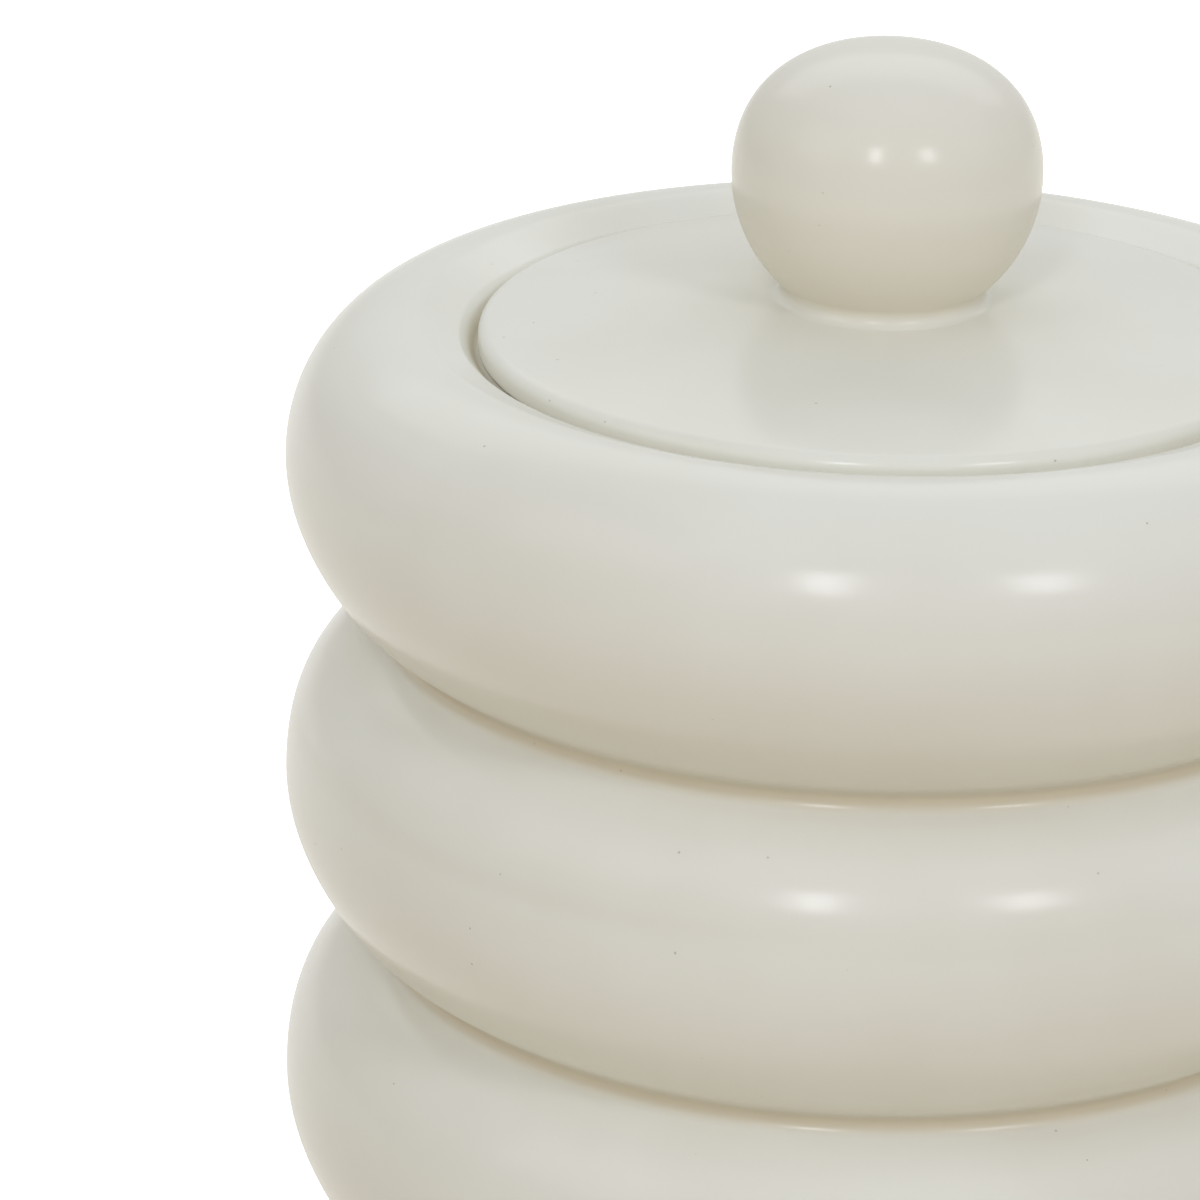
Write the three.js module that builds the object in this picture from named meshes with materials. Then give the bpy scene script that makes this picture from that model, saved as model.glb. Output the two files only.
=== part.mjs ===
// A lidded stoneware jar: a stack of fat rings cast as one hollow wall, a shallow domed
// lid that drops into the mouth, and a hollow ball knob stuck to the lid with slip.
// Millimetres, +Z up. The origin is the centre of the foot, on the table.

import * as THREE from 'three';

// The stack of rings
const RING_COUNT = 4;
const RING_RADIUS = 70; // axis to a ring's widest line
const RING_PITCH = 39.5; // one ring's widest line to the next
const RING_BULGE = 17.4; // a ring's widest line to the hoop at its heart, inwards
const CREASE_DROP = 0.4; // half-way between two widest lines to the crease, downwards
const CREASE_FILLET = 1.75; // radius of the glaze-softened crease between two rings
const WALL = 5.5; // cast wall behind the widest lines and the creases

// The rolled top of the highest ring, and the gallery inside it that holds the lid
const CREST_INSET = 14.5; // widest line to the crest, inwards
const CREST_RISE = 16.7; // widest line to the crest, upwards
const LIP_WIDTH = 7.6; // crest to the foot of the gallery's wall, inwards
const LIP_CREST = 2.6; // radius of the crest's inner round
const LIP_SLOPE = THREE.MathUtils.degToRad(20); // fall of the lip from its crest inwards
const LIP_ROLL = 1.2; // radius of the roll from that slope into the gallery's wall
const GALLERY_SLOPE = THREE.MathUtils.degToRad(48); // fall of the gallery's wall
const LEDGE_WIDTH = 7; // foot of the gallery's wall to the mouth
const LEDGE_THICKNESS = 5.5;
const LEDGE_ROUND = 1.5; // round on the two edges of the ledge's nose

// The foot and the floor
const FOOT_TRIM = 1.15; // slice of the lowest ring that is cut away flat
const FOOT_WIDTH = 7; // unglazed ring that the jar stands on
const FOOT_RECESS = 2.5; // hollow inside the foot ring
const FLOOR_THICKNESS = 6;
const FLOOR_SWEEP = 14.5; // how far the floor's curve reaches in from the wall

// The lid
const LID_GAP = 0.45; // lid's edge to the foot of the gallery's wall, all round
const LID_SINK = 0.55; // crest to the lid's upper edge, downwards
const LID_RIM = 3.2; // height of the lid's edge
const LID_DOME_RADIUS = 284;
const LID_EDGE_ROUND = 1.6;
const LID_FOOT_ROUND = 0.8;
const LID_WALL = 3.7;
const LID_SEAT_WIDTH = 7.2; // flat ring under the lid's edge
const SEAT_CLEARANCE = 0.3; // lid's flat ring to the ledge
const VENT_RADIUS = 2.5; // firing vent from the knob's hollow through the lid

// The knob
const KNOB_RADIUS = 18.2;
const KNOB_CROWN = 15.2; // widest line to the top, flatter than a ball
const KNOB_NECK = 12.7; // radius where the ball runs into its foot
const KNOB_FILLET = 1.2; // hollow curve between the neck and the foot
const KNOB_FOOT_EDGE = 0.5; // height of the foot's edge
const KNOB_WALL = 5;
const LUTE = 0.2; // layer of slip between the knob and the lid

// How finely the round shapes are divided
const TURN_STEPS = 48;
const RING_STEPS = 8;
const CREASE_STEPS = 3;
const LIP_STEPS = 2;
const CURVE_STEPS = 4;
const WAVE_STEPS = 4;

// Levels and radii that follow from the sizes above
const HALF_PITCH = RING_PITCH / 2;
const UPPER_HALF = HALF_PITCH - CREASE_DROP;
const LOWER_HALF = HALF_PITCH + CREASE_DROP;
const HOOP_RADIUS = RING_RADIUS - RING_BULGE;
const LOWEST_RING_Z = HALF_PITCH - FOOT_TRIM;
const TOP_RING_Z = LOWEST_RING_Z + (RING_COUNT - 1) * RING_PITCH;
const CREST_RADIUS = RING_RADIUS - CREST_INSET;
const CREST_Z = TOP_RING_Z + CREST_RISE;
const GALLERY_RADIUS = CREST_RADIUS - LIP_WIDTH;
const MOUTH_RADIUS = GALLERY_RADIUS - LEDGE_WIDTH;
const LID_RADIUS = GALLERY_RADIUS - LID_GAP;
const LID_EDGE_Z = CREST_Z - LID_SINK;
const LID_SEAT_Z = LID_EDGE_Z - LID_RIM;
const LEDGE_Z = LID_SEAT_Z - SEAT_CLEARANCE;
const KNOB_FOOT_RADIUS = KNOB_NECK + KNOB_FILLET;

// Points along an elliptical arc about (r, z), from one angle to another.
function arc(r, z, halfWidth, halfHeight, from, to, steps) {
  return Array.from({ length: steps + 1 }, (_, step) => {
    const angle = from + ((to - from) * step) / steps;
    return new THREE.Vector2(r + halfWidth * Math.cos(angle), z + halfHeight * Math.sin(angle));
  });
}

function corner(r, z) {
  return [new THREE.Vector2(r, z)];
}

// One outline out of several runs, with the points where two runs meet kept once.
function joinRuns(...runs) {
  const sameSpot = 1e-6;
  return runs.flat().filter((point, i, all) => i === 0 || point.distanceTo(all[i - 1]) > sameSpot);
}

// A solid turned about the Z axis from an outline with the clay on its left.
function turned(name, outline, material) {
  const geometry = new THREE.LatheGeometry(outline, TURN_STEPS);
  geometry.rotateX(Math.PI / 2);
  const mesh = new THREE.Mesh(geometry, material);
  mesh.name = name;
  return mesh;
}

// Where a value that rises with the angle, from 0 to a quarter turn, reaches the target.
function angleAt(target, valueAt) {
  let low = 0;
  let high = Math.PI / 2;
  for (let halving = 0; halving < 50; halving += 1) {
    const angle = (low + high) / 2;
    if (valueAt(angle) < target) low = angle;
    else high = angle;
  }
  return (low + high) / 2;
}

// The direction that a ring's quarter ellipse faces at an angle on it.
function ringTurn(angle, halfHeight) {
  return Math.atan2(RING_BULGE * Math.sin(angle), halfHeight * Math.cos(angle));
}

// The centre of a crease fillet that touches a ring at an angle on its quarter ellipse,
// measured from the ring's heart.
function filletCentre(angle, halfHeight) {
  const turn = ringTurn(angle, halfHeight);
  return new THREE.Vector2(
    RING_BULGE * Math.cos(angle) + CREASE_FILLET * Math.cos(turn),
    halfHeight * Math.sin(angle) + CREASE_FILLET * Math.sin(turn),
  );
}

// The angle at which a fillet that is so far out touches the ring above it.
function angleAbove(out) {
  return angleAt(-out, (angle) => -filletCentre(angle, LOWER_HALF).x);
}

// The crease takes over where the fillet touches the ring below and the ring above at once.
const ANGLE_BELOW = angleAt(RING_PITCH, (angle) => {
  const centre = filletCentre(angle, UPPER_HALF);
  return centre.y + filletCentre(angleAbove(centre.x), LOWER_HALF).y;
});
const CREASE = filletCentre(ANGLE_BELOW, UPPER_HALF);
const ANGLE_ABOVE = angleAbove(CREASE.x);
const CREASE_RADIUS = HOOP_RADIUS + CREASE.x - CREASE_FILLET;

// The lip inside the crest: a round, a straight slope, and a roll into the gallery's wall. The lines
// of the slope and the wall cross at a corner, and the roll starts a little before it.
function jarLip() {
  const roundDrop = LIP_CREST * (1 - Math.cos(LIP_SLOPE));
  const roundEnd = new THREE.Vector2(CREST_RADIUS - LIP_CREST * Math.sin(LIP_SLOPE), CREST_Z - roundDrop);
  const across = roundEnd.x - GALLERY_RADIUS;
  const up = roundEnd.y - LEDGE_Z;
  const bend = GALLERY_SLOPE - LIP_SLOPE;
  const toCorner = (across * Math.sin(GALLERY_SLOPE) - up * Math.cos(GALLERY_SLOPE)) / Math.sin(bend);
  const toRoll = toCorner - LIP_ROLL * Math.tan(bend / 2);
  const rollRadius = roundEnd.x - toRoll * Math.cos(LIP_SLOPE) + LIP_ROLL * Math.sin(LIP_SLOPE);
  const rollZ = roundEnd.y - toRoll * Math.sin(LIP_SLOPE) - LIP_ROLL * Math.cos(LIP_SLOPE);
  const slopeTurn = Math.PI / 2 + LIP_SLOPE;
  const wallTurn = Math.PI / 2 + GALLERY_SLOPE;
  return joinRuns(
    arc(CREST_RADIUS, CREST_Z - LIP_CREST, LIP_CREST, LIP_CREST, Math.PI / 2, slopeTurn, LIP_STEPS),
    arc(rollRadius, rollZ, LIP_ROLL, LIP_ROLL, slopeTurn, wallTurn, LIP_STEPS),
  );
}

// The outside of the jar: foot ring, rings with a crease above each, and the rolled lip.
function jarOutside() {
  const footAngle = Math.asin(LOWEST_RING_Z / HALF_PITCH);
  const footRadius = HOOP_RADIUS + RING_BULGE * Math.cos(footAngle);
  const footInside = footRadius - FOOT_WIDTH;
  const runs = [
    corner(0, FOOT_RECESS),
    corner(footInside - FOOT_RECESS, FOOT_RECESS),
    corner(footInside, 0),
    corner(footRadius, 0),
  ];
  const halfSteps = RING_STEPS / 2;
  const filletFrom = Math.PI + ringTurn(ANGLE_BELOW, UPPER_HALF);
  const filletTo = Math.PI - ringTurn(ANGLE_ABOVE, LOWER_HALF);
  for (let ring = 0; ring < RING_COUNT; ring += 1) {
    const z = LOWEST_RING_Z + ring * RING_PITCH;
    const from = ring === 0 ? -footAngle : -ANGLE_ABOVE;
    const underHalf = ring === 0 ? HALF_PITCH : LOWER_HALF;
    runs.push(arc(HOOP_RADIUS, z, RING_BULGE, underHalf, from, 0, halfSteps));
    if (ring === RING_COUNT - 1) break;
    runs.push(arc(HOOP_RADIUS, z, RING_BULGE, UPPER_HALF, 0, ANGLE_BELOW, halfSteps));
    const r = HOOP_RADIUS + CREASE.x;
    runs.push(arc(r, z + CREASE.y, CREASE_FILLET, CREASE_FILLET, filletFrom, filletTo, CREASE_STEPS));
  }
  runs.push(arc(CREST_RADIUS, TOP_RING_Z, CREST_INSET, CREST_RISE, 0, Math.PI / 2, RING_STEPS));
  return joinRuns(...runs, jarLip());
}

// The ledge that carries the lid: gallery floor, rounded nose at the mouth, underside.
function jarLedge() {
  const noseRadius = MOUTH_RADIUS + LEDGE_ROUND;
  const underside = LEDGE_Z - LEDGE_THICKNESS;
  return joinRuns(
    corner(GALLERY_RADIUS, LEDGE_Z),
    arc(noseRadius, LEDGE_Z - LEDGE_ROUND, LEDGE_ROUND, LEDGE_ROUND, Math.PI / 2, Math.PI, 2),
    arc(noseRadius, underside + LEDGE_ROUND, LEDGE_ROUND, LEDGE_ROUND, Math.PI, Math.PI * 1.5, 2),
    corner(GALLERY_RADIUS + WALL, underside),
  );
}

// The inside of the jar: the pocket in the top ring, a wave that follows the rings, the floor.
function jarInside() {
  const widest = RING_RADIUS - WALL;
  const narrowest = CREASE_RADIUS - WALL;
  const pocketHalf = (widest - GALLERY_RADIUS - WALL) / 2;
  const pocketRadius = widest - pocketHalf;
  const roof = CREST_Z - WALL;
  const ledgeUnderside = LEDGE_Z - LEDGE_THICKNESS;
  const pocket = joinRuns(
    arc(pocketRadius, ledgeUnderside, pocketHalf, roof - ledgeUnderside, Math.PI, Math.PI / 2, CURVE_STEPS),
    arc(pocketRadius, TOP_RING_Z, pocketHalf, roof - TOP_RING_Z, Math.PI / 2, 0, CURVE_STEPS),
  );
  const waveSteps = WAVE_STEPS * (RING_COUNT - 1);
  const wave = Array.from({ length: waveSteps + 1 }, (_, step) => {
    const swell = Math.cos((2 * Math.PI * step) / WAVE_STEPS);
    const radius = (widest + narrowest) / 2 + (swell * (widest - narrowest)) / 2;
    return new THREE.Vector2(radius, TOP_RING_Z - (step * RING_PITCH) / WAVE_STEPS);
  });
  const floorZ = FOOT_RECESS + FLOOR_THICKNESS;
  const sweepRise = LOWEST_RING_Z - floorZ;
  const floor = arc(widest - FLOOR_SWEEP, LOWEST_RING_Z, FLOOR_SWEEP, sweepRise, 0, -Math.PI / 2, CURVE_STEPS);
  return joinRuns(pocket, wave, floor, corner(0, floorZ));
}

function jarBody(glaze) {
  return turned('jar_body', joinRuns(jarOutside(), jarLedge(), jarInside()), glaze);
}

// The lid's dome is a shallow ball cap whose edge round runs out to the lid's radius.
const LID_ROUND_Z = LID_EDGE_Z - LID_EDGE_ROUND;
const LID_EDGE_TURN = Math.asin((LID_RADIUS - LID_EDGE_ROUND) / (LID_DOME_RADIUS - LID_EDGE_ROUND));
const LID_DOME_Z = LID_ROUND_Z - (LID_DOME_RADIUS - LID_EDGE_ROUND) * Math.cos(LID_EDGE_TURN);
const KNOB_PAD_TURN = Math.asin(KNOB_FOOT_RADIUS / LID_DOME_RADIUS);
const KNOB_PAD_Z = LID_DOME_Z + LID_DOME_RADIUS * Math.cos(KNOB_PAD_TURN);

function domedLid(glaze) {
  const seatInside = LID_RADIUS - LID_SEAT_WIDTH;
  const underRadius = LID_DOME_RADIUS - LID_WALL;
  const underFrom = Math.PI / 2 - Math.asin(VENT_RADIUS / underRadius);
  const underTo = Math.PI / 2 - Math.asin(seatInside / underRadius);
  const footRadius = LID_RADIUS - LID_FOOT_ROUND;
  const footZ = LID_SEAT_Z + LID_FOOT_ROUND;
  const domeFrom = Math.PI / 2 - LID_EDGE_TURN;
  const domeTo = Math.PI / 2 - KNOB_PAD_TURN;
  const outline = joinRuns(
    arc(0, LID_DOME_Z, underRadius, underRadius, underFrom, underTo, CURVE_STEPS),
    corner(seatInside, LID_SEAT_Z),
    arc(footRadius, footZ, LID_FOOT_ROUND, LID_FOOT_ROUND, -Math.PI / 2, 0, 2),
    arc(LID_RADIUS - LID_EDGE_ROUND, LID_ROUND_Z, LID_EDGE_ROUND, LID_EDGE_ROUND, 0, domeFrom, CURVE_STEPS),
    arc(0, LID_DOME_Z, LID_DOME_RADIUS, LID_DOME_RADIUS, domeFrom, domeTo, CURVE_STEPS),
    corner(VENT_RADIUS, KNOB_PAD_Z),
  );
  outline.push(outline[0].clone());
  return turned('domed_lid', outline, glaze);
}

// The knob is a hollow ball with a flattened crown, open underneath over the lid's vent.
function ballKnob(glaze) {
  const footZ = KNOB_PAD_Z + LUTE;
  const filletZ = footZ + KNOB_FOOT_EDGE + KNOB_FILLET;
  const ballDrop = Math.sqrt((KNOB_RADIUS + KNOB_FILLET) ** 2 - KNOB_FOOT_RADIUS ** 2);
  const ballZ = filletZ + ballDrop;
  const neckTurn = Math.atan2(ballDrop, KNOB_FOOT_RADIUS);
  const hollowRadius = KNOB_RADIUS - KNOB_WALL;
  const hollowCrown = KNOB_CROWN - KNOB_WALL;
  const throat = KNOB_NECK - KNOB_WALL;
  const throatTurn = Math.acos(throat / hollowRadius);
  const outline = joinRuns(
    arc(0, ballZ, hollowRadius, hollowCrown, Math.PI / 2, 0, CURVE_STEPS),
    arc(0, ballZ, hollowRadius, hollowRadius, 0, -throatTurn, CURVE_STEPS),
    corner(throat, footZ),
    corner(KNOB_FOOT_RADIUS, footZ),
    arc(KNOB_FOOT_RADIUS, filletZ, KNOB_FILLET, KNOB_FILLET, Math.PI * 1.5, Math.PI - neckTurn, CREASE_STEPS),
    arc(0, ballZ, KNOB_RADIUS, KNOB_RADIUS, -neckTurn, 0, CURVE_STEPS),
    arc(0, ballZ, KNOB_RADIUS, KNOB_CROWN, 0, Math.PI / 2, RING_STEPS),
  );
  return turned('ball_knob', outline, glaze);
}

const creamGlaze = new THREE.MeshStandardMaterial({ color: 0xe3e0d6, roughness: 0.38, metalness: 0 });

const jar = new THREE.Group();
jar.add(jarBody(creamGlaze));
const lid = new THREE.Group();
lid.add(domedLid(creamGlaze), ballKnob(creamGlaze));
jar.add(lid);

export default jar;
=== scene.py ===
import bpy
import numpy as np
from mathutils import Matrix, Vector


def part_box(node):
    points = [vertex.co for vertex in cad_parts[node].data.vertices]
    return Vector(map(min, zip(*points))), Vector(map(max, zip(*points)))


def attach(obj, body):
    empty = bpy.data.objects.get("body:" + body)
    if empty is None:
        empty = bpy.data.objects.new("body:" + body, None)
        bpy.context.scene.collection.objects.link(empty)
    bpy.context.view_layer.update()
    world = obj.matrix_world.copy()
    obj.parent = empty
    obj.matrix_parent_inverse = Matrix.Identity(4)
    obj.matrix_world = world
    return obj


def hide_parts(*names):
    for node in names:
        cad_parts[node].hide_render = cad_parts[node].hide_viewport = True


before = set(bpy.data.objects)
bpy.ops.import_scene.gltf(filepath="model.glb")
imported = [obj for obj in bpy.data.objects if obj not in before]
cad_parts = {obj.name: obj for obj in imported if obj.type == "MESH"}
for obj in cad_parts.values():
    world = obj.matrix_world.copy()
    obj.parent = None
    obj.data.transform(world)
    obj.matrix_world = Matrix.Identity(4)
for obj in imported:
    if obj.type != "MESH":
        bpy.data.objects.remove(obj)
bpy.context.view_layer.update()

# The jar is one hollow wall of cream stoneware, slip-cast in a mould as a stack of four fat rings.
# The glaze it was dipped in softens the creases and pools there. Its darker brown in the creases
# and down the gallery is that pooled glaze plus painted shade. The foot ring and the ledge under
# the lid are wiped bare before firing, so that nothing sticks in the kiln.

mm = 0.001
quarter = np.pi / 2
jar_low, jar_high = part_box("jar_body")
lid_low, lid_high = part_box("domed_lid")

ring_count = 4
ring_radius = jar_high.x
ring_pitch = 39.5 * mm
half_pitch = ring_pitch / 2
crease_drop = 0.4 * mm
upper_half = half_pitch - crease_drop
lower_half = half_pitch + crease_drop
ring_bulge = 17.4 * mm
hoop_radius = ring_radius - ring_bulge
upper_swell = 0.4 * mm
lower_swell = -0.4 * mm
crease_fillet = 1.75 * mm
wall = 5.5 * mm

crest_rise = 16.7 * mm
crest_inset = 14.5 * mm
crest_z = jar_high.z
crest_radius = ring_radius - crest_inset
top_ring_z = crest_z - crest_rise
lip_crest = 4.5 * mm
lip_slope = np.radians(21)
lip_roll = 1.2 * mm
gallery_slope = np.radians(48)
gallery_cove = 0.8 * mm
lid_gap = 0.3 * mm
lid_radius = lid_high.x
gallery_radius = lid_radius + lid_gap
seat_clearance = 0.3 * mm
lid_seat_z = lid_low.z
ledge_z = lid_seat_z - seat_clearance
ledge_width = 7.0 * mm
wiped_inset = 1.0 * mm
ledge_thickness = 5.5 * mm
ledge_round = 1.5 * mm
mouth_radius = gallery_radius - ledge_width

foot_width = 7.0 * mm
foot_recess = 2.5 * mm
foot_edge = 0.7 * mm
glaze_line = 1.6 * mm
glaze_depth = 0.22 * mm
floor_thickness = 6.0 * mm
floor_sweep = 14.5 * mm


def arc(centre, reach, start, end, count, swell=0.0):
    """Points on an elliptical arc: the centre plus the reach times the cosine and sine of the angle.

    The count is the number of points, both ends included. The arc stands off its ellipse by the
    swell at its middle, and fades to it at both ends as a squared sine.
    """
    share = np.linspace(0, 1, count)
    angle = start + (end - start) * share
    stand_off = 1 + swell / max(reach) * np.sin(np.pi * share) ** 2
    across = centre[0] + reach[0] * np.cos(angle) * stand_off
    up = centre[1] + reach[1] * np.sin(angle) * stand_off
    return np.column_stack([across, up])


def straight(start, end, count):
    """So many points, evenly spaced on the line from start to end, both included."""
    return np.linspace(start, end, count)


def outline_of(runs):
    """Joins runs of points, each with its finish, into rows of radius, height, bare share and tint share.

    A bare run has a bare share of 1. On a pooled run the tint share, which marks the darker
    pool-and-shade tint, rises from 0 at both ends to its peak in the middle, as a squared sine: the
    peak is 1, or less on a thinly pooled run. On a rising run it grows from 0 to 1, as a squared sine,
    and on a fading run it falls from 1 to 0, as a squared cosine. Where two runs meet, their shared
    point is kept once.
    """
    same_spot = 0.0001 * mm
    thin_peak = 0.75
    rows = []
    for points, finish in runs:
        share = np.linspace(0, 1, len(points))
        bare = np.full(len(points), float(finish == "bare"))
        pool = np.sin(np.pi * share) ** 2
        rise = np.sin(quarter * share) ** 2
        pools = {"pooled": pool, "thinly pooled": thin_peak * pool, "rising": rise, "fading": 1 - rise}
        pooled = pools.get(finish, 0 * share)
        rows.append(np.column_stack([points, bare, pooled]))
    rows = np.vstack(rows)
    step = np.linalg.norm(np.diff(rows[:, :2], axis=0), axis=1)
    return rows[np.concatenate([[True], step > same_spot])]


def turned_piece(name, outline, turns, warp=0.0, phase=0.0, looped=False):
    """A surface of revolution: each outline point (radius, height) is carried round the Z axis.

    The radius also swells and shrinks by the warp in two slow waves round the axis, as clay does
    while it dries. The second wave is weaker, and turns as it climbs. A looped outline closes on
    itself. Any other one starts and ends on the axis, and those two points become poles with a fan
    of triangles.
    """
    second_share = 0.6
    turn_per_metre = 20.0
    rings = outline if looped else outline[1:-1]
    angle = 2 * np.pi * np.arange(turns) / turns
    radius, height = rings[:, :1], rings[:, 1:2]
    first_wave = np.cos(2 * angle + phase)
    second_wave = np.cos(3 * angle - phase + turn_per_metre * height)
    slow_wave = first_wave + second_share * second_wave
    radius = radius * (1 + warp / ring_radius * slow_wave)
    grid = np.stack([radius * np.cos(angle), radius * np.sin(angle), height + 0 * angle], axis=-1)
    points = grid.reshape(-1, 3)
    shares = np.repeat(rings[:, 2:], turns, axis=0)

    rows = np.arange(len(points)).reshape(len(rings), turns)
    if looped:
        rows = np.vstack([rows, rows[:1]])
    ahead = np.roll(rows, -1, axis=1)
    quads = np.stack([rows[:-1], ahead[:-1], ahead[1:], rows[1:]], axis=-1)
    faces = quads.reshape(-1, 4).tolist()
    if not looped:
        first_pole = np.full(turns, len(points))
        last_pole = first_pole + 1
        poles = outline[[0, -1]]
        on_axis = np.zeros((2, 2))
        points = np.vstack([points, np.column_stack([on_axis, poles[:, 1]])])
        shares = np.vstack([shares, poles[:, 2:]])
        faces += np.column_stack([first_pole, ahead[0], rows[0]]).tolist()
        faces += np.column_stack([rows[-1], ahead[-1], last_pole]).tolist()

    mesh = bpy.data.meshes.new(name)
    mesh.from_pydata(points.tolist(), [], faces)
    mesh.shade_smooth()
    # The second attribute holds the tint share. It is pooled glaze with painted shade in the jar's creases
    # and gallery, and painted shade at the knob's foot.
    for column, label in enumerate(("bare_clay", "pooled_glaze_and_shade")):
        attribute = mesh.attributes.new(label, "FLOAT", "POINT")
        attribute.data.foreach_set("value", shares[:, column].astype(np.float32))
    piece = bpy.data.objects.new(name, mesh)
    bpy.context.scene.collection.objects.link(piece)
    return piece


def crease_between_rings():
    """The crease fillet's centre above the lower ring's heart, and where it leaves each ring's arc.

    Each ring's arc, moved out by one fillet radius along its normal, is a line that the centre may
    lie on. The centre is where the line of the ring below crosses that of the ring above.
    """
    fine_steps = 4001
    angle = np.linspace(0, quarter, fine_steps)

    def moved_out(half_height):
        """A ring's quarter ellipse plus the fillet radius times its unit normal."""
        along = np.column_stack([ring_bulge * np.cos(angle), half_height * np.sin(angle)])
        normal = np.column_stack([half_height * np.cos(angle), ring_bulge * np.sin(angle)])
        return along + crease_fillet * normal / np.linalg.norm(normal, axis=1, keepdims=True)

    below, above = moved_out(upper_half), moved_out(lower_half)
    facing = np.interp(below[:, 0], above[::-1, 0], above[::-1, 1])
    angle_below = np.interp(ring_pitch, below[:, 1] + facing, angle)
    centre = (np.interp(angle_below, angle, below[:, 0]), np.interp(angle_below, angle, below[:, 1]))
    angle_above = np.interp(-centre[0], -above[:, 0], angle)
    return centre, angle_below, angle_above


def lip_edge():
    """The lip's slope and roll: end of the crest's round, start of the roll, and the roll's centre.

    The slope and the gallery's wall are straight in section. Their lines cross at a corner, and the
    roll starts before it by its radius times the tangent of half the turn between the two lines.
    """
    along_slope = np.array([np.cos(lip_slope), np.sin(lip_slope)])
    along_wall = np.array([np.cos(gallery_slope), np.sin(gallery_slope)])
    crest_drop = lip_crest * (1 - np.cos(lip_slope))
    crest_end = np.array([crest_radius - lip_crest * np.sin(lip_slope), crest_z - crest_drop])
    foot = np.array([gallery_radius, ledge_z])
    slope_length, _ = np.linalg.solve(np.column_stack([along_slope, along_wall]), crest_end - foot)
    set_back = lip_roll * np.tan((gallery_slope - lip_slope) / 2)
    roll_start = crest_end - (slope_length - set_back) * along_slope
    into_roll = np.array([np.sin(lip_slope), -np.cos(lip_slope)])
    return crest_end, roll_start, roll_start + lip_roll * into_roll


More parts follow.
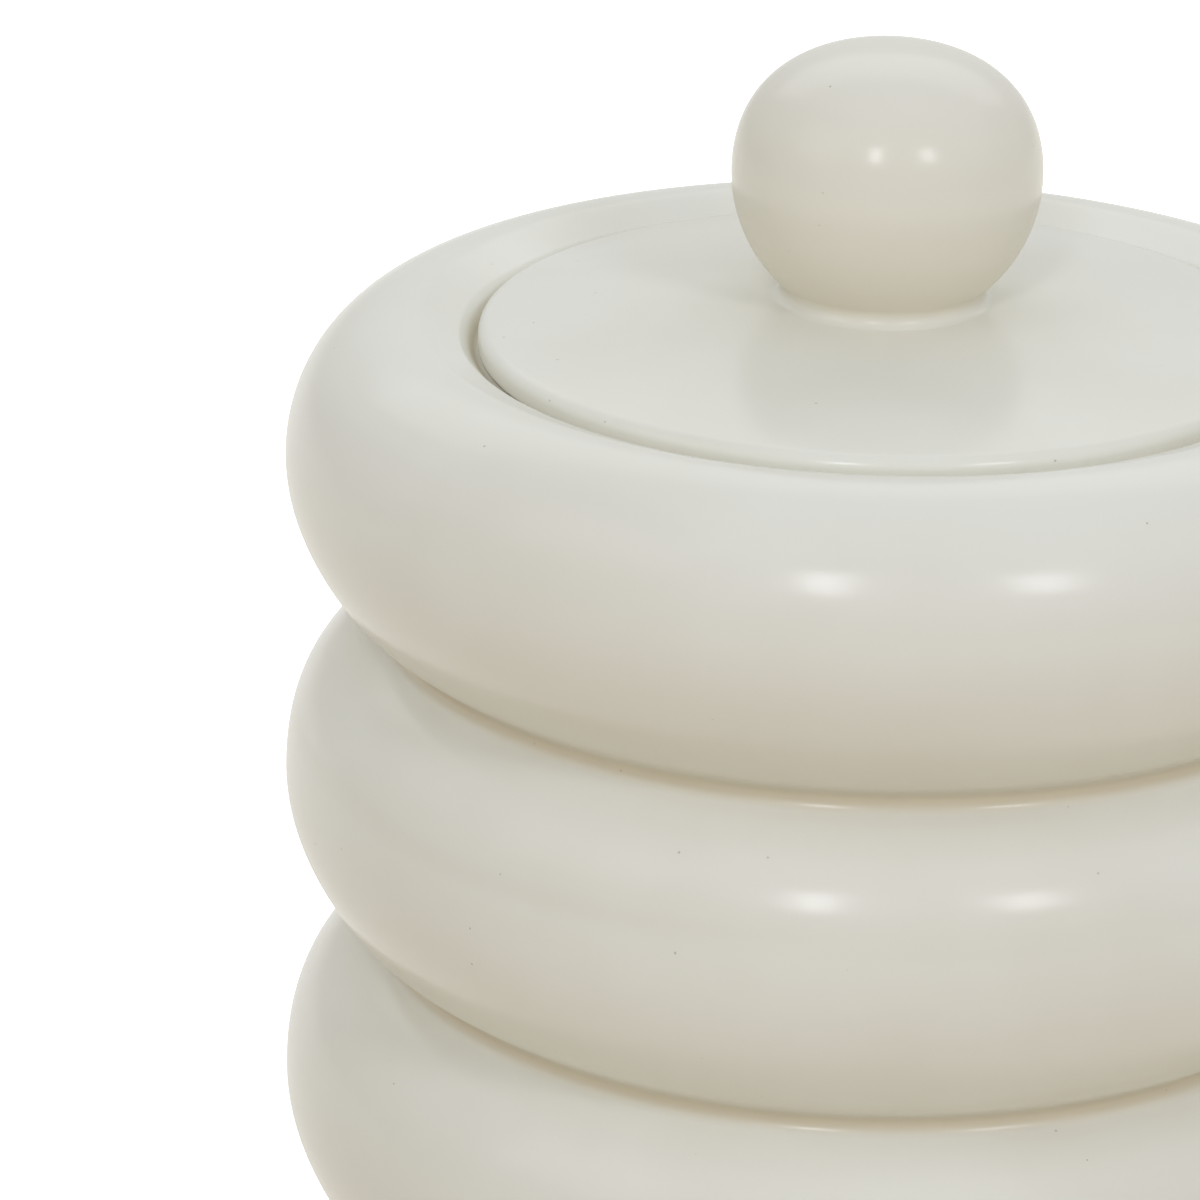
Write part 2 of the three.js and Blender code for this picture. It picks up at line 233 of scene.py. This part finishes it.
def jar_outline():
    """The jar's section from the middle of its underside, up the rings, over the lip and down inside."""
    lowest_ring_z = top_ring_z - (ring_count - 1) * ring_pitch
    foot_angle = np.arcsin((lowest_ring_z - jar_low.z) / half_pitch)
    foot_radius = hoop_radius + ring_bulge * np.cos(foot_angle)
    foot_inside = foot_radius - foot_width
    recess_radius = foot_inside - foot_recess
    outer_edge = (foot_radius - glaze_depth - foot_edge, foot_edge)
    inner_edge = (foot_inside + foot_edge, foot_edge)
    edge_round = (foot_edge, foot_edge)
    runs = [
        (straight((0, foot_recess), (recess_radius, foot_recess), 24), "glazed"),
        (straight((recess_radius, foot_recess), (foot_inside, foot_edge), 8), "glazed"),
        (arc(inner_edge, edge_round, 2 * quarter, 3 * quarter, 6), "bare"),
        (straight((inner_edge[0], 0), (outer_edge[0], 0), 8), "bare"),
        (arc(outer_edge, edge_round, -quarter, 0, 6), "bare"),
    ]

    crease, angle_below, angle_above = crease_between_rings()
    turn_below = np.arctan2(ring_bulge * np.sin(angle_below), upper_half * np.cos(angle_below))
    turn_above = np.arctan2(ring_bulge * np.sin(angle_above), lower_half * np.cos(angle_above))
    fillet = (crease_fillet, crease_fillet)
    fillet_start = 2 * quarter + turn_below
    fillet_end = 2 * quarter - turn_above
    glaze_angle = np.arcsin((lowest_ring_z - jar_low.z - glaze_line) / half_pitch)
    for ring in range(ring_count):
        centre = (hoop_radius, lowest_ring_z + ring * ring_pitch)
        under_half = half_pitch if ring == 0 else lower_half
        under_start = -glaze_angle if ring == 0 else -angle_above
        runs.append((arc(centre, (ring_bulge, under_half), under_start, 0, 24, lower_swell), "glazed"))
        if ring == ring_count - 1:
            break
        runs.append((arc(centre, (ring_bulge, upper_half), 0, angle_below, 24, upper_swell), "glazed"))
        fillet_centre = (centre[0] + crease[0], centre[1] + crease[1])
        # The crease fillet takes the crease tint, which is glaze pooled there plus painted shade.
        runs.append((arc(fillet_centre, fillet, fillet_start, fillet_end, 16), "pooled"))

    crest_end, roll_start, roll_centre = lip_edge()
    slope_end = quarter + lip_slope
    roll = arc(roll_centre, (lip_roll, lip_roll), slope_end, quarter + gallery_slope, 10)
    cove_centre = (gallery_radius - gallery_cove * np.tan(gallery_slope / 2), ledge_z + gallery_cove)
    cove = arc(cove_centre, (gallery_cove, gallery_cove), gallery_slope - quarter, -quarter, 6)
    wiped_from = (lid_radius - wiped_inset, ledge_z)
    gallery = np.vstack([straight(roll[-1], cove[0], 12), cove[1:], straight(cove[-1], wiped_from, 6)[1:]])
    nose_radius = mouth_radius + ledge_round
    nose_round = (ledge_round, ledge_round)
    ledge_under = ledge_z - ledge_thickness
    runs += [
        (arc((crest_radius, top_ring_z), (crest_inset, crest_rise), 0, quarter, 34), "glazed"),
        (arc((crest_radius, crest_z - lip_crest), (lip_crest, lip_crest), quarter, slope_end, 8), "glazed"),
        (straight(crest_end, roll_start, 8), "glazed"),
        (roll, "glazed"),
        # The gallery takes up to three quarters of the crease tint. It is pooled glaze plus painted shade
        # in the gap beside the lid.
        (gallery, "thinly pooled"),
        (straight(wiped_from, (nose_radius, ledge_z), 8), "bare"),
        (arc((nose_radius, ledge_z - ledge_round), nose_round, quarter, 2 * quarter, 7), "glazed"),
        (arc((nose_radius, ledge_under + ledge_round), nose_round, 2 * quarter, 3 * quarter, 7), "glazed"),
        (straight((nose_radius, ledge_under), (gallery_radius + wall, ledge_under), 10), "glazed"),
    ]

    widest = ring_radius - wall
    narrowest = hoop_radius + crease[0] - crease_fillet - wall
    pocket_half = (widest - gallery_radius - wall) / 2
    pocket_radius = widest - pocket_half
    roof = crest_z - wall
    inner_pocket = (pocket_half, roof - ledge_under)
    outer_pocket = (pocket_half, roof - top_ring_z)
    floor_z = foot_recess + floor_thickness
    sweep = (floor_sweep, lowest_ring_z - floor_z)
    wave_steps = 16
    wave_count = ring_count - 1
    down = np.linspace(0, wave_count, wave_steps * wave_count + 1)
    wave = (widest + narrowest) / 2 + (widest - narrowest) / 2 * np.cos(2 * np.pi * down)
    runs += [
        (arc((pocket_radius, ledge_under), inner_pocket, 2 * quarter, quarter, 10), "glazed"),
        (arc((pocket_radius, top_ring_z), outer_pocket, quarter, 0, 10), "glazed"),
        (np.column_stack([wave, top_ring_z - down * ring_pitch]), "glazed"),
        (arc((widest - floor_sweep, lowest_ring_z), sweep, 0, -quarter, 14), "glazed"),
        (straight((widest - floor_sweep, floor_z), (0, floor_z), 20), "glazed"),
    ]
    return outline_of(runs)


def shader_node(tree, kind, settings=None, **values):
    """Adds one node, sets its own settings by name, and its inputs by name with _ for a space."""
    made = tree.nodes.new(kind)
    for name, value in (settings or {}).items():
        setattr(made, name, value)
    for name, value in values.items():
        made.inputs[name.replace("_", " ")].default_value = value
    return made


def mixed_colour(tree, share, below, above):
    """A colour mix: below where the share is 0, above where it is 1. Either may be a socket."""
    made = tree.nodes.new("ShaderNodeMix")
    made.data_type = "RGBA"
    tree.links.new(share, made.inputs["Factor"])
    sockets = [s for s in made.inputs if s.type == "RGBA"]
    for socket, value in zip(sockets, (below, above)):
        if isinstance(value, bpy.types.NodeSocket):
            tree.links.new(value, socket)
        else:
            socket.default_value = (*value, 1)
    return next(s for s in made.outputs if s.type == "RGBA")


def ramped(tree, value, low, high, to_low, to_high):
    """The value carried smoothly from the span low to high onto the span to_low to to_high."""
    made = shader_node(tree, "ShaderNodeMapRange", {"interpolation_type": "SMOOTHSTEP"})
    tree.links.new(value, made.inputs["Value"])
    for name, number in zip(("From Min", "From Max", "To Min", "To Max"), (low, high, to_low, to_high)):
        made.inputs[name].default_value = number
    return made.outputs["Result"]


def combined(tree, operation, *parts):
    """A Math node of the given operation. Each part is a socket or a number."""
    made = shader_node(tree, "ShaderNodeMath", {"operation": operation})
    for socket, part in zip(made.inputs, parts):
        if isinstance(part, bpy.types.NodeSocket):
            tree.links.new(part, socket)
        else:
            socket.default_value = part
    return made.outputs["Value"]


def satin_glaze(name, offset, pool_and_shade_tint):
    """Satin cream glaze over stoneware, with bare clay wherever the bare_clay attribute says so.

    Soft clouds mark where the glaze lies thicker, and faint level streaks come from the dipping.
    Where the mesh's tint share says so, the colour turns to the given tint: glaze pooled in a crease
    plus painted shade there, in the gallery and towards the knob's foot. Some cells of a fine mesh
    hold an iron speck in a pinhole, darker the higher the cell's own draw. The surface rolls slightly.
    The offset shifts the pattern, so that no two pieces match.
    """
    thin_glaze = (0.822, 0.818, 0.738)
    thick_glaze = (0.853, 0.858, 0.790)
    streak_tint = (0.790, 0.765, 0.675)
    speck_brown = (0.36, 0.30, 0.22)
    bare_light = (0.72, 0.63, 0.50)
    bare_dark = (0.60, 0.50, 0.38)
    cloud_scale = 22.0
    cloud_low, cloud_high = 0.35, 0.65
    streak_scale = (7.0, 7.0, 150.0)
    streak_low, streak_high = 0.55, 0.80
    streak_strength = 0.35
    speck_scale = 300.0
    speck_low, speck_high = 0.55, 0.98
    speck_core, speck_rim = 0.02, 0.06
    speck_strength = 0.6
    clay_grain_scale = 1500.0
    roll_scale, roll_height = 95.0, 0.05 * mm
    skin_scale, skin_height = 900.0, 0.004 * mm
    pinhole_depth = 0.06 * mm
    satin_roughness = 0.20
    satin_share = 0.5
    body_roughness = 0.6

    material = bpy.data.materials.new(name)
    material.use_nodes = True
    tree = material.node_tree
    tree.nodes.clear()
    link = tree.links.new
    place = shader_node(tree, "ShaderNodeTexCoord")
    shifted = shader_node(tree, "ShaderNodeMapping", Location=offset)
    link(place.outputs["Object"], shifted.inputs["Vector"])
    stretched = shader_node(tree, "ShaderNodeMapping", Location=offset, Scale=streak_scale)
    link(place.outputs["Object"], stretched.inputs["Vector"])

    def noise(scale, detail, source=shifted):
        """Smooth noise between 0 and 1 with so many features to the metre."""
        made = shader_node(tree, "ShaderNodeTexNoise", Scale=scale, Detail=detail)
        link(source.outputs["Vector"], made.inputs["Vector"])
        return made.outputs["Fac"]

    def share_of(attribute):
        """The share that the mesh stores under this name."""
        return shader_node(tree, "ShaderNodeAttribute", {"attribute_name": attribute}).outputs["Fac"]

    cloud = ramped(tree, noise(cloud_scale, detail=3.0), cloud_low, cloud_high, 0, 1)
    colour = mixed_colour(tree, cloud, thin_glaze, thick_glaze)
    banding = noise(scale=1.0, detail=2.0, source=stretched)
    streak = ramped(tree, banding, streak_low, streak_high, 0, streak_strength)
    colour = mixed_colour(tree, streak, colour, streak_tint)
    # Painted shade: this tint darkens the creases, the gallery and the knob's foot, on top of the glaze
    # that pools in the creases.
    colour = mixed_colour(tree, share_of("pooled_glaze_and_shade"), colour, pool_and_shade_tint)

    cells = shader_node(tree, "ShaderNodeTexVoronoi", Scale=speck_scale)
    link(shifted.outputs["Vector"], cells.inputs["Vector"])
    draw = shader_node(tree, "ShaderNodeSeparateColor")
    link(cells.outputs["Color"], draw.inputs["Color"])
    chosen = ramped(tree, draw.outputs["Red"], speck_low, speck_high, 0, speck_strength)
    near_middle = ramped(tree, cells.outputs["Distance"], speck_core, speck_rim, 1, 0)
    speck = combined(tree, "MULTIPLY", near_middle, chosen)
    colour = mixed_colour(tree, speck, colour, speck_brown)

    clay_share = share_of("bare_clay")
    clay = mixed_colour(tree, noise(clay_grain_scale, detail=4.0), bare_dark, bare_light)
    colour = mixed_colour(tree, clay_share, colour, clay)

    height = combined(tree, "MULTIPLY", noise(roll_scale, detail=2.0), roll_height)
    height = combined(tree, "MULTIPLY_ADD", noise(skin_scale, detail=2.0), skin_height, height)
    height = combined(tree, "MULTIPLY_ADD", speck, -pinhole_depth, height)
    relief = shader_node(tree, "ShaderNodeBump", Strength=1.0, Distance=1.0)
    link(height, relief.inputs["Height"])

    surface = shader_node(
        tree,
        "ShaderNodeBsdfPrincipled",
        Roughness=body_roughness,
        Specular_IOR_Level=0.0,
        Coat_Roughness=satin_roughness,
    )
    link(colour, surface.inputs["Base Color"])
    link(ramped(tree, clay_share, 0, 1, satin_share, 0), surface.inputs["Coat Weight"])
    link(relief.outputs["Normal"], surface.inputs["Normal"])
    link(relief.outputs["Normal"], surface.inputs["Coat Normal"])
    output = shader_node(tree, "ShaderNodeOutputMaterial")
    link(surface.outputs["BSDF"], output.inputs["Surface"])
    return material


# Painted shade: the crease brown is pooled glaze in the creases and gallery, darkened further to stand in
# for the shade there.
crease_shade_and_pool_brown = (0.690, 0.625, 0.475)
jar_glaze = satin_glaze("jar_satin_glaze", offset=(0.0, 0.0, 0.0), pool_and_shade_tint=crease_shade_and_pool_brown)
jar_shell = turned_piece("jar_shell", jar_outline(), turns=216, warp=0.06 * mm, phase=0.8)
jar_shell.data.materials.append(jar_glaze)
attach(jar_shell, "jar")
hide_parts("jar_body")

# The lid is a shallow dome of the same cast stoneware, which drops into the gallery inside the lip.
# Its flat bare ring rests on the ledge, and a small vent under the knob lets steam out in the kiln.

lid_sink = 0.55 * mm
lid_edge_z = crest_z - lid_sink
lid_edge_round = 1.6 * mm
lid_foot_round = 0.4 * mm
lid_wall = 3.7 * mm
lid_seat_width = 7.2 * mm
dome_radius = 284.0 * mm
vent_radius = 2.5 * mm
knob_foot_radius = 13.9 * mm
knob_pad_radius = 11.0 * mm
dome_reach = dome_radius - lid_edge_round
dome_edge_turn = np.arcsin((lid_radius - lid_edge_round) / dome_reach)
dome_centre_z = lid_edge_z - lid_edge_round - dome_reach * np.cos(dome_edge_turn)
foot_turn = np.arcsin(knob_foot_radius / dome_radius)
knob_pad_z = dome_centre_z + dome_radius * np.cos(foot_turn)


def lid_outline():
    """The lid's section: underside of the dome, bare seat ring, rounded edge, dome, knob's pad, vent."""
    under_radius = dome_radius - lid_wall
    seat_inside = lid_radius - lid_seat_width
    vent_turn = np.arcsin(vent_radius / under_radius)
    seat_turn = np.arcsin(seat_inside / under_radius)
    dome_centre = (0, dome_centre_z)
    under = arc(dome_centre, (under_radius, under_radius), quarter - vent_turn, quarter - seat_turn, 24)
    foot_radius = lid_radius - lid_foot_round
    foot_z = lid_seat_z + lid_foot_round
    foot_round = (lid_foot_round, lid_foot_round)
    edge_centre = (lid_radius - lid_edge_round, lid_edge_z - lid_edge_round)
    edge_round = (lid_edge_round, lid_edge_round)
    dome_start = quarter - dome_edge_turn
    dome_end = quarter - np.arcsin(knob_pad_radius / dome_radius)
    dome = arc(dome_centre, (dome_radius, dome_radius), dome_start, dome_end, 42)
    runs = [
        (under, "glazed"),
        (straight(under[-1], (seat_inside, lid_seat_z), 5), "glazed"),
        (straight((seat_inside, lid_seat_z), (foot_radius, lid_seat_z), 8), "bare"),
        (arc((foot_radius, foot_z), foot_round, -quarter, 0, 7), "glazed"),
        (straight((lid_radius, foot_z), (lid_radius, edge_centre[1]), 5), "glazed"),
        (arc(edge_centre, edge_round, 0, dome_start, 16), "glazed"),
        (dome, "glazed"),
        (straight(dome[-1], (knob_pad_radius, knob_pad_z), 2), "glazed"),
        (straight((knob_pad_radius, knob_pad_z), (vent_radius, knob_pad_z), 10), "bare"),
        (straight((vent_radius, knob_pad_z), under[0], 5)[:-1], "glazed"),
    ]
    return outline_of(runs)


lid_glaze = satin_glaze("lid_satin_glaze", offset=(0.31, 0.12, 0.0), pool_and_shade_tint=crease_shade_and_pool_brown)
lid_dome = turned_piece("lid_dome", lid_outline(), turns=256, warp=0.05 * mm, phase=2.1, looped=True)
lid_dome.data.materials.append(lid_glaze)
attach(lid_dome, "lid")
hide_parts("domed_lid")

# The knob is a hollow cast ball with a flattened crown, stuck to the lid with slip before firing.
# The glaze runs over the joint and leaves a small smooth fillet there.

knob_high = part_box("ball_knob")[1]
knob_radius = knob_high.x
knob_crown = 15.2 * mm
crown_swell = 0.7 * mm
knob_z = knob_high.z - knob_crown
knob_wall = 5.0 * mm
knob_throat = 7.7 * mm
lute = 0.2 * mm
glaze_fillet = 1.2 * mm
run_out = 0.5 * mm
run_out_turn = np.radians(2)
tuck_depth = 0.05 * mm


def knob_outline():
    """The knob's section: hollow crown, hollow ball, throat, joint, glaze fillet, ball, crown.

    The fillet touches the ball, so its centre lies one fillet radius outside it. It meets the
    lid's dome at a slight angle, the run-out turn, so the cosine rule gives how far its centre
    lies from the dome's. The straight run-out ends inside the lid, and behind the fillet the
    joint's edge is tucked under the dome.
    """
    to_ball = knob_radius + glaze_fillet
    cosine_term = 2 * dome_radius * glaze_fillet * np.cos(run_out_turn)
    to_dome = np.sqrt(dome_radius**2 + glaze_fillet**2 + cosine_term)
    apart = knob_z - dome_centre_z
    above_dome = (apart**2 + to_dome**2 - to_ball**2) / (2 * apart)
    fillet_reach = np.sqrt(to_dome**2 - above_dome**2)
    fillet_z = dome_centre_z + above_dome
    neck_turn = np.arctan2(knob_z - fillet_z, fillet_reach)
    dome_turn = np.arctan2(fillet_reach, above_dome)
    fillet_start = 3 * quarter - dome_turn - run_out_turn
    fillet_end = 2 * quarter - neck_turn
    fillet = arc((fillet_reach, fillet_z), (glaze_fillet, glaze_fillet), fillet_start, fillet_end, 28)
    slope = fillet_start + quarter
    run_out_end = fillet[0] + run_out * np.array([np.cos(slope), np.sin(slope)])

    hollow = (knob_radius - knob_wall, knob_crown - knob_wall)
    hollow_ball = (hollow[0], hollow[0])
    throat_turn = np.arccos(knob_throat / hollow[0])
    throat_z = knob_z - hollow[0] * np.sin(throat_turn)
    joint_z = knob_pad_z + lute
    joint_radius = fillet_reach - glaze_fillet
    tuck_radius = fillet_reach - glaze_fillet / 2
    tuck_z = dome_centre_z + np.sqrt(dome_radius**2 - tuck_radius**2) - tuck_depth
    ball = arc((0, knob_z), (knob_radius, knob_radius), -neck_turn, 0, 36)
    crown = arc((0, knob_z), (knob_radius, knob_crown), 0, quarter, 48, crown_swell)
    runs = [
        (arc((0, knob_z), hollow, quarter, 0, 14), "bare"),
        (arc((0, knob_z), hollow_ball, 0, -throat_turn, 12), "bare"),
        (straight((knob_throat, throat_z), (knob_throat, joint_z), 4), "bare"),
        (straight((knob_throat, joint_z), (joint_radius, joint_z), 5), "bare"),
        (straight((joint_radius, joint_z), (tuck_radius, tuck_z), 3), "glazed"),
        (straight((tuck_radius, tuck_z), run_out_end, 3), "glazed"),
        (straight(run_out_end, fillet[0], 12), "glazed"),
        # The tint share rises up the fillet to the neck, then fades over the ball and crown. It is painted
        # shade and painted warm bounce from the lid, strongest at the knob's foot.
        (fillet, "rising"),
        (np.vstack([ball, crown[1:]]), "fading"),
    ]
    return outline_of(runs)


# The knob's tint is painted shade: warmer and darker towards its foot, for the shade and the lid's warm
# bounce under the ball.
knob_foot_shade_tint = (0.840, 0.798, 0.672)
knob_glaze = satin_glaze("knob_satin_glaze", offset=(0.07, 0.43, 0.0), pool_and_shade_tint=knob_foot_shade_tint)
knob_ball = turned_piece("knob_ball", knob_outline(), turns=192, warp=0.1 * mm, phase=4.0)
knob_ball.data.materials.append(knob_glaze)
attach(knob_ball, "lid")
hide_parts("ball_knob")

# The table is a wide matt sheet of warm white board that the jar stands on.
# Seen directly it fades to pure white a few centimetres past the jar, and keeps its shadow before that.

table_radius = 3.0
table_thickness = 20 * mm
table_rings = 40
table_white = (0.78, 0.76, 0.73)
table_bounce = (0.75, 0.66, 0.52)
shadow_reach = 75 * mm
white_reach = 110 * mm
near_glow = 0.30


def table_outline():
    """A flat round board: a point under its middle, then rings that shrink with their share squared."""
    share = np.linspace(1, 0, table_rings)
    top = np.column_stack([table_radius * share**2, np.full(table_rings, jar_low.z)])
    under = np.array([[0, jar_low.z - table_thickness]])
    return outline_of([(under, "plain"), (top, "plain")])


def seen_directly(tree):
    """1 for a camera, glossy or transmission ray, and 0 for the rays that light other things."""
    path = shader_node(tree, "ShaderNodeLightPath")
    shown = combined(tree, "MAXIMUM", path.outputs["Is Camera Ray"], path.outputs["Is Glossy Ray"])
    return combined(tree, "MAXIMUM", shown, path.outputs["Is Transmission Ray"])


def table_material():
    """Matt board, plus a glow for rays that see it directly, which grows to white outwards."""
    material = bpy.data.materials.new("table_board")
    material.use_nodes = True
    tree = material.node_tree
    tree.nodes.clear()
    link = tree.links.new
    place = shader_node(tree, "ShaderNodeTexCoord")
    away = shader_node(tree, "ShaderNodeVectorMath", {"operation": "LENGTH"})
    link(place.outputs["Object"], away.inputs[0])
    glow = ramped(tree, away.outputs["Value"], shadow_reach, white_reach, near_glow, 1.0)
    light = shader_node(tree, "ShaderNodeEmission")
    link(combined(tree, "MULTIPLY", seen_directly(tree), glow), light.inputs["Strength"])
    board = shader_node(tree, "ShaderNodeBsdfDiffuse")
    link(mixed_colour(tree, seen_directly(tree), table_bounce, table_white), board.inputs["Color"])
    both = shader_node(tree, "ShaderNodeAddShader")
    link(light.outputs["Emission"], both.inputs[0])
    link(board.outputs["BSDF"], both.inputs[1])
    output = shader_node(tree, "ShaderNodeOutputMaterial")
    link(both.outputs["Shader"], output.inputs["Surface"])
    return material


table = turned_piece("table", table_outline(), turns=64)
table.data.materials.append(table_material())

# The studio: two soft boxes in front, which show as the paired highlights on every ring, wide
# dimmer sheets above, at the sides and behind, and white surroundings.

top_ring_middle = Vector((0, 0, top_ring_z))
surround_light = 0.365
white = (1.0, 1.0, 1.0, 1.0)
neutral = (1.0, 1.0, 1.0)
cool = (1.0, 1.0, 1.08)


def soft_box(name, place, size, level, tint):
    """An area lamp aimed at the middle of the top ring.

    Its place is its azimuth from straight in front towards +X, its elevation, both in degrees, and
    its distance. The level is how bright the lamp's own face looks, with 1 for white.
    """
    azimuth, elevation, distance = place
    width, height = size
    turn, lift = np.radians([azimuth, elevation])
    toward = Vector((np.sin(turn) * np.cos(lift), -np.cos(turn) * np.cos(lift), np.sin(lift)))
    lamp = bpy.data.lights.new(name, "AREA")
    lamp.shape = "RECTANGLE"
    lamp.size = width
    lamp.size_y = height
    lamp.energy = level * np.pi * width * height
    lamp.color = tint
    held = bpy.data.objects.new(name, lamp)
    held.location = top_ring_middle + toward * distance
    held.rotation_euler = (-toward).to_track_quat("-Z", "Y").to_euler()
    bpy.context.scene.collection.objects.link(held)


soft_box("left_soft_box", place=(-9.5, 34.5, 2.0), size=(0.20, 0.50), level=18.0, tint=cool)
soft_box("right_soft_box", place=(34.5, 33, 2.0), size=(0.34, 0.42), level=12.0, tint=cool)
soft_box("high_sheet", place=(8, 55, 1.3), size=(1.60, 0.60), level=0.12, tint=neutral)
soft_box("top_sheet", place=(12, 75, 1.3), size=(1.60, 1.00), level=0.22, tint=neutral)
soft_box("left_sheet", place=(-60, 35, 1.4), size=(0.80, 0.80), level=0.90, tint=neutral)
soft_box("right_sheet", place=(85, 35, 1.4), size=(0.80, 0.80), level=0.40, tint=neutral)
soft_box("back_sheet", place=(180, 45, 1.3), size=(2.20, 0.70), level=0.98, tint=neutral)

world = bpy.data.worlds.new("white_studio")
bpy.context.scene.world = world
world.use_nodes = True
tree = world.node_tree
tree.nodes.clear()
link = tree.links.new
backdrop = shader_node(tree, "ShaderNodeBackground", Color=white, Strength=1.0)
ambient = shader_node(tree, "ShaderNodeBackground", Color=white, Strength=surround_light)
shown = shader_node(tree, "ShaderNodeMixShader")
link(seen_directly(tree), shown.inputs["Fac"])
link(ambient.outputs["Background"], shown.inputs[1])
link(backdrop.outputs["Background"], shown.inputs[2])
sky_output = shader_node(tree, "ShaderNodeOutputWorld")
link(shown.outputs["Shader"], sky_output.inputs["Surface"])
bpy.context.scene.view_settings.view_transform = "Standard"

# The camera stands close in front and above, turned to the left and down, so that the jar
# fills the right of the square frame and runs off its right and lower edges.

camera_distance = 0.70
camera_lift = np.radians(19.343)
camera_heading = np.radians(-2.820)
camera_dip = np.radians(20.836)
camera_roll = np.radians(1.082)
camera_lens = 176.83
camera_sensor = 36.0

camera = bpy.data.cameras.new("photo_camera")
camera.sensor_width = camera_sensor
camera.lens = camera_lens
ahead = Vector((
    np.sin(camera_heading) * np.cos(camera_dip),
    np.cos(camera_heading) * np.cos(camera_dip),
    -np.sin(camera_dip),
))
level_right = ahead.cross(Vector((0, 0, 1))).normalized()
level_up = level_right.cross(ahead)
right = level_right * np.cos(camera_roll) + level_up * np.sin(camera_roll)
up = level_up * np.cos(camera_roll) - level_right * np.sin(camera_roll)
viewer = bpy.data.objects.new("photo_camera", camera)
viewer.rotation_euler = Matrix((right, up, -ahead)).transposed().to_euler()
viewer.location = top_ring_middle + camera_distance * Vector((0, -np.cos(camera_lift), np.sin(camera_lift)))
bpy.context.scene.collection.objects.link(viewer)
bpy.context.scene.camera = viewer
